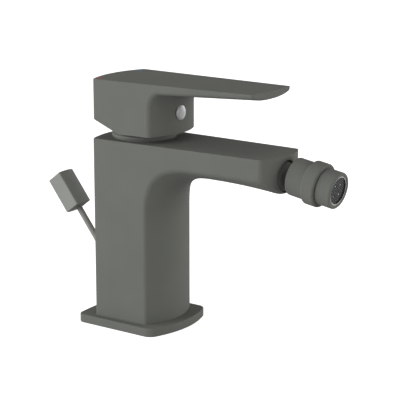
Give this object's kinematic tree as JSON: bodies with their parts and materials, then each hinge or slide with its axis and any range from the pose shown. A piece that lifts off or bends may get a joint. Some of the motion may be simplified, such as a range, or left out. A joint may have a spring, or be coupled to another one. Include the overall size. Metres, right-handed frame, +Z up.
{
  "type": "bidet mixer",
  "caption": "Single-lever bidet mixer with a square tapered column, a cast spout with a tilting ball-joint spray nozzle, a flat lever and a waste lift rod.",
  "frame": {"origin": "where the cartridge axis meets the deck, on the underside of the flange", "axes": "+X along the spout, +Z up the cartridge axis, +Y to the right of someone who faces the spout"},
  "size_m": [0.2007, 0.0546, 0.1455],
  "materials": {
    "graphite_coat": "satin graphite coat on cast brass",
    "graphite_coat_light": "satin graphite coat, lighter tone",
    "raw_brass": "turned, uncoated",
    "steel_pin": "plain",
    "ceramic_disc": "lapped",
    "cartridge_plastic": "moulded acetal",
    "rotor_plastic": "moulded, dark",
    "bush_plastic": "moulded acetal, dark",
    "rubber_seal": "nitrile rubber",
    "cap_grey": "moulded, satin",
    "mark_red": "moulded",
    "mark_blue": "moulded",
    "aerator_plastic": "moulded, pale grey",
    "grille_plastic": "moulded, dark"
  },
  "bodies": {
    "root": {"body": "graphite_coat", "base_flange": "graphite_coat", "base_gasket": "rubber_seal", "rod_bush": "bush_plastic", "cartridge_base": "cartridge_plastic", "inlet_seals": "rubber_seal", "fixed_disc": "ceramic_disc", "cartridge_housing": "cartridge_plastic", "cartridge_nut": "raw_brass", "cartridge_collar": "graphite_coat", "ball_stem": "graphite_coat", "stem_seal": "rubber_seal"},
    "rotor": {"cartridge_rotor": "rotor_plastic", "lever_pin": "steel_pin"},
    "lever": {"cartridge_stem": "raw_brass", "handle": "graphite_coat", "handle_set_screw": "steel_pin", "screw_cap": "cap_grey", "hot_mark": "mark_red", "cold_mark": "mark_blue"},
    "disc": {"moving_disc": "ceramic_disc", "disc_carrier": "cartridge_plastic"},
    "rod": {"lift_rod": "graphite_coat_light", "rod_knob": "graphite_coat_light"},
    "rear_seat": {"ball_rear_seat": "cartridge_plastic"},
    "front_seat": {"ball_front_seat": "cartridge_plastic"},
    "nozzle": {"swivel_barrel": "graphite_coat", "aerator_housing": "graphite_coat", "aerator_seal": "rubber_seal", "aerator_insert": "aerator_plastic", "aerator_grille": "grille_plastic"}
  },
  "joints": [
    {"name": "lever_swivel", "type": "hinge", "parent": "root", "child": "rotor", "pos_m": [0, 0, 0.1], "axis": [0, 0, 1], "range_deg": [-50, 50]},
    {"name": "lever_lift", "type": "hinge", "parent": "rotor", "child": "lever", "pos_m": [0, 0, 0.1], "axis": [0, -1, 0], "range_deg": [0, 22]},
    {"name": "disc_slide", "type": "slide", "parent": "rotor", "child": "disc", "axis": [1, 0, 0], "range_m": [0, 0.00406]},
    {"name": "rod_lift", "type": "slide", "parent": "root", "child": "rod", "axis": [-0.6157, 0, 0.788], "range_m": [0, 0.02]},
    {"name": "nozzle_yaw", "type": "hinge", "parent": "root", "child": "rear_seat", "pos_m": [0.1072, 0, 0.0993], "axis": [0, 0, 1], "range_deg": [-15, 15]},
    {"name": "nozzle_pitch", "type": "hinge", "parent": "rear_seat", "child": "front_seat", "pos_m": [0.1072, 0, 0.0993], "axis": [0, 1, 0], "range_deg": [-24.7, 5.3]},
    {"name": "nozzle_spin", "type": "hinge", "parent": "front_seat", "child": "nozzle", "pos_m": [0.1072, 0, 0.0993], "axis": [0.9857, 0, -0.1685], "continuous": true}
  ],
  "couplings": [
    {"joint": "disc_slide", "follows": "lever_lift", "m_per_rad": 0.010537}
  ]
}
